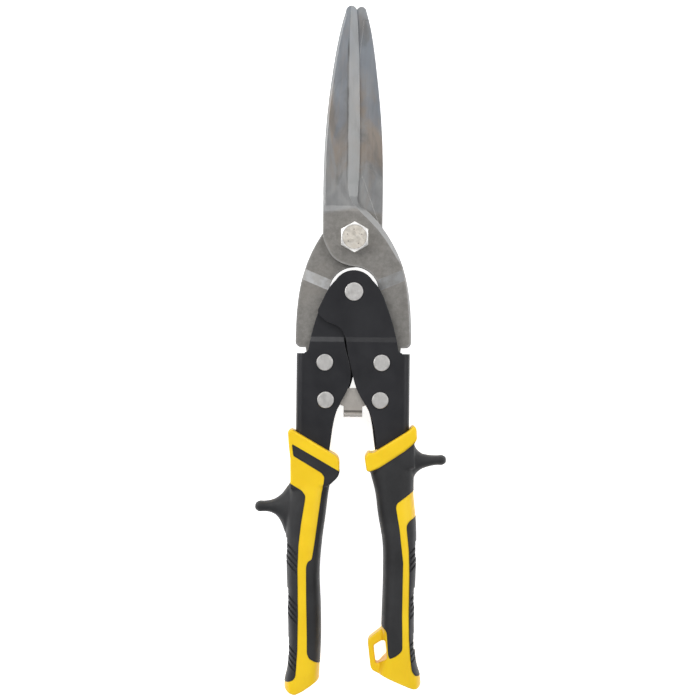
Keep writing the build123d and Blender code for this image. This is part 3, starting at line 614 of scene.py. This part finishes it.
LEFT_PANEL = (
    (-26.9, -92.5), (-4.0, -105.5), (-4.0, -194.8), (-13.6, -190.3), (-16.5, -189.0),
    (-18.3, -187.8), (-19.2, -185.6), (-19.3, -177.4), (-19.8, -160.0), (-20.0, -147.0),
    (-19.3, -144.8), (-17.5, -143.7), (-16.5, -137.4), (-15.0, -125.9), (-13.5, -114.4),
    (-12.5, -109.3), (-12.3, -107.0), (-13.7, -105.2), (-26.2, -97.8),
)
LEFT_BAND = (
    (-27.5, -110.1), (-22.2, -113.3), (-20.7, -115.4), (-20.8, -117.2), (-22.5, -128.2),
    (-23.5, -137.5), (-23.8, -148.0), (-23.4, -168.3), (-23.5, -184.3), (-24.2, -195.5),
    (-25.0, -197.4), (-27.2, -198.6), (-35.0, -199.2), (-48.0, -200.0), (-48.0, -108.0),
    (-34.0, -107.0),
)
RIGHT_PANEL = (
    (30.0, -89.6), (29.0, -90.5), (23.5, -95.2), (18.0, -98.9), (10.8, -103.6), (8.0, -104.7),
    (2.0, -104.7), (2.0, -166.0), (14.3, -174.0), (15.5, -174.9), (16.2, -176.3), (16.9, -185.9),
    (17.5, -187.7), (20.2, -186.5), (22.5, -184.6), (23.2, -183.1), (22.9, -167.8), (23.1, -144.7),
    (21.4, -130.1), (19.7, -120.4), (20.1, -118.6), (21.9, -117.2), (27.6, -113.0), (48.0, -105.0),
    (48.0, -88.0),
)
RIGHT_BAND = (
    (28.6, -124.5), (25.7, -126.4), (24.6, -128.2), (24.6, -130.1), (25.6, -139.2), (26.0, -150.0),
    (25.9, -167.8), (26.2, -179.3), (26.9, -188.4), (27.6, -193.2), (29.0, -195.4), (40.0, -196.4),
    (40.0, -120.0),
)
# Each group of ribs: y of the first, inner end of its grooves, and the flank that the band steps back to
LEFT_GROUPS = ((-137.3, 24.2, 28.75), (-159.8, 24.0, 28.0), (-181.8, 24.0, 27.45))
RIGHT_GROUPS = ((-136.0, 26.3, 28.7), (-157.0, 26.6, 28.2), (-177.2, 26.8, 28.3))

OUTWARD = {"left": -1, "right": 1}
RIB_COUNT, RIB_PITCH, RIB_WIDTH = 4, 2.7, 1.15
RIB_REACH = 7.0  # from the inner end of a groove outwards
RIB_RISE = 3.8  # how far a rib climbs to either side of its middle
RIB_LOW, RIB_HIGH = -8.6, 14
STEP_LEAD = {"left": 2.6, "right": 0.4}  # from the first rib to the start of its step
STEP_OUT, STEP_SLANT, STEP_LENGTH, STEP_HALF = 3, 3, 8, 14
CLEAR = 20  # half height of a tool that goes right through a grip
COLLAR_HALF, SHOULDER_HALF, LOOP_HALF = 9.6, 9.0, 4.5
BLOCK_BEVEL = 1.5  # rounding of collar and shoulder
STOP_POWER = 2.4  # section of a thumb stop, between an ellipse at 2 and a box
SHELL_INSET = 0.16  # the yellow shell lies this far below the dark overmould
GROOVE_DEPTH = 0.5  # from the band's skin to the floor of its grooves


def ribs(side, groups):
    """Slanted bars that cut the gripping grooves into the outer band."""
    out = OUTWARD[side]
    bars = []
    for top, x_in, _ in groups:
        for k in range(RIB_COUNT):
            y = top - k * RIB_PITCH
            low, high = (out * x_in, y - RIB_RISE), (out * (x_in + RIB_REACH), y + RIB_RISE)
            points = [low, high, (high[0], high[1] - RIB_WIDTH), (low[0], low[1] - RIB_WIDTH)]
            bars.append(prism("rib", points if out > 0 else points[::-1], RIB_LOW, RIB_HIGH))
    return joined("ribs", bars)


def steps(side, groups):
    """Blocks that take the flank back a little beside each group of ribs."""
    out = OUTWARD[side]
    blocks = []
    for top, _, flank in groups:
        y = top + STEP_LEAD[side]
        outer, inner = out * (flank + STEP_OUT), out * flank
        low = y - STEP_LENGTH
        points = [(inner, y), (outer, y + STEP_SLANT), (outer, low), (inner, low)]
        blocks.append(prism("step", points if out > 0 else points[::-1], -STEP_HALF, STEP_HALF))
    return joined("steps", blocks)


def grip(side, stations, end, collar, stop, panel, band, groups, loop=None, shoulder=None):
    """Yellow shell and dark overmould of one grip."""
    body = f"handle_{side}"
    core = tube("core", [(y, (a + b) / 2, abs(b - a) / 2, h) for y, a, b, h in stations])
    cut(core, prism("end", rounded(end, 1.0), -CLEAR, CLEAR), "INTERSECT")
    parts = [core, prism("collar", rounded(collar, 1.2), -COLLAR_HALF, COLLAR_HALF, bevel=BLOCK_BEVEL)]
    parts.append(tube("stop", stop, along="x", count=40, ring=40, power=STOP_POWER))
    if shoulder:
        parts.append(prism("shoulder", shoulder, -SHOULDER_HALF, SHOULDER_HALF, bevel=BLOCK_BEVEL))
    if loop:
        cut(core, prism("hole", LOOP_HOLE, -CLEAR, CLEAR))
        parts.append(prism("loop", rounded(loop, 1.0), -LOOP_HALF, LOOP_HALF, hole=LOOP_HOLE))
    band_skin = fused(joined("whole", parts))
    shell = inset_copy(band_skin, "shell", SHELL_INSET)
    groove_floor = inset_copy(band_skin, "floor_skin", GROOVE_DEPTH)
    soft_panel, soft_band = rounded(panel), rounded(band)
    panel_skin = inset_copy(band_skin, "dark", 0.0)
    cut(panel_skin, prism("cover", soft_panel, -CLEAR, CLEAR), "INTERSECT")
    cover = prism("cover", soft_band, -CLEAR, CLEAR)
    cut(band_skin, cover, "INTERSECT", drop=False)
    cut(band_skin, steps(side, groups))
    cut(band_skin, ribs(side, groups))
    cut(groove_floor, cover, "INTERSECT", drop=False)
    cut(shell, cover)
    cut(shell, prism("cover", soft_panel, -CLEAR, CLEAR))
    overmould = joined("overmould", [panel_skin, band_skin, groove_floor])
    finish_piece(overmould, f"{side}_overmould", "black_rubber", body, [f"{side}_grip_overmould"])
    finish_piece(shell, f"{side}_shell", "yellow_plastic", body, [f"{side}_grip_shell"])


grip("left", LEFT_STATIONS, LEFT_END, LEFT_COLLAR, LEFT_STOP, LEFT_PANEL, LEFT_BAND, LEFT_GROUPS)
grip("right", RIGHT_STATIONS, RIGHT_END, RIGHT_COLLAR, RIGHT_STOP, RIGHT_PANEL, RIGHT_BAND, RIGHT_GROUPS,
     loop=LOOP, shoulder=RIGHT_SHOULDER)

# ---------------------------------------------------------------- return spring, a free copy in world space
spring = nodes["return_spring"].copy()
spring.data = nodes["return_spring"].data.copy()
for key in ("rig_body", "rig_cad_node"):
    if key in spring:
        del spring[key]
spring.parent = None
spring.name = "spring_wire"
bpy.context.scene.collection.objects.link(spring)
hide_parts("return_spring")
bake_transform(spring)

# ---------------------------------------------------------------- stage, light and camera
FLOOR_GAP = 0.0002  # the floor lies this far below the snips
PAPER_GLOW = 0.78  # keeps hollows over the paper white, as in the photograph
CAMERA_HEIGHT = 0.85  # above the plane between the blades
VIEW_WIDTH = 0.315  # how much of that plane the camera takes in
CAMERA_TURN = 0.62  # degrees by which the photograph is turned
SENSOR = 36.0  # millimetres

floor_mesh = bmesh.new()
bmesh.ops.create_grid(floor_mesh, x_segments=2, y_segments=2, size=3.0)
floor = new_object("floor", floor_mesh)
floor.location = (0, 0, -FLOOR_GAP)
paper = Graph("paper")
fibres = paper.span(paper.noise(14, 3, 0.5), 0.3, 0.7)
paper.set(base_color=paper.mix(fibres, rgb(0.93, 0.93, 0.93), rgb(0.95, 0.95, 0.95)), roughness=0.8)
paper.set(emission_color=rgb(1, 1, 1), emission_strength=PAPER_GLOW)
floor.data.materials.append(paper.mat)

world = bpy.data.worlds.new("world")
bpy.context.scene.world = world
world.use_nodes = True
background = world.node_tree.nodes["Background"]
background.inputs["Color"].default_value = rgb(0.95, 0.97, 1.0)
background.inputs["Strength"].default_value = 0.33


def area(name, place, target, size, power):
    """White rectangular lamp that shines at a target."""
    data = bpy.data.lights.new(name, "AREA")
    data.shape = "RECTANGLE"
    data.size, data.size_y = size
    data.energy = power
    obj = bpy.data.objects.new(name, data)
    obj.location = place
    obj.rotation_euler = (Vector(target) - Vector(place)).to_track_quat("-Z", "Y").to_euler()
    bpy.context.scene.collection.objects.link(obj)


area("key", (-0.75, 0.45, 0.95), (0, -0.05, 0), (0.7, 0.9), 7.5)
area("fill", (0.8, 0.1, 0.95), (0, -0.05, 0), (0.6, 1.0), 3.0)
area("top", (0.1, 0.95, 0.9), (0, -0.02, 0), (1.0, 0.4), 5.0)
area("low", (0.0, -1.0, 0.8), (0, -0.1, 0), (0.9, 0.4), 2.4)
area("rim_right", (1.1, 0.35, 0.3), (0, 0, 0), (0.2, 0.9), 1.6)
area("rim_left", (-1.0, 0.2, 0.42), (0, 0, 0), (0.25, 0.9), 1.6)

camera_data = bpy.data.cameras.new("camera")
camera = bpy.data.objects.new("camera", camera_data)
bpy.context.scene.collection.objects.link(camera)
camera.location = (-0.0015, -0.0504, MID * MM + CAMERA_HEIGHT)
camera.rotation_euler = (0, 0, math.radians(CAMERA_TURN))
camera_data.sensor_width = SENSOR
camera_data.lens = SENSOR * CAMERA_HEIGHT / VIEW_WIDTH
camera_data.clip_start = 0.05
bpy.context.scene.camera = camera
bpy.context.scene.view_settings.view_transform = "Standard"
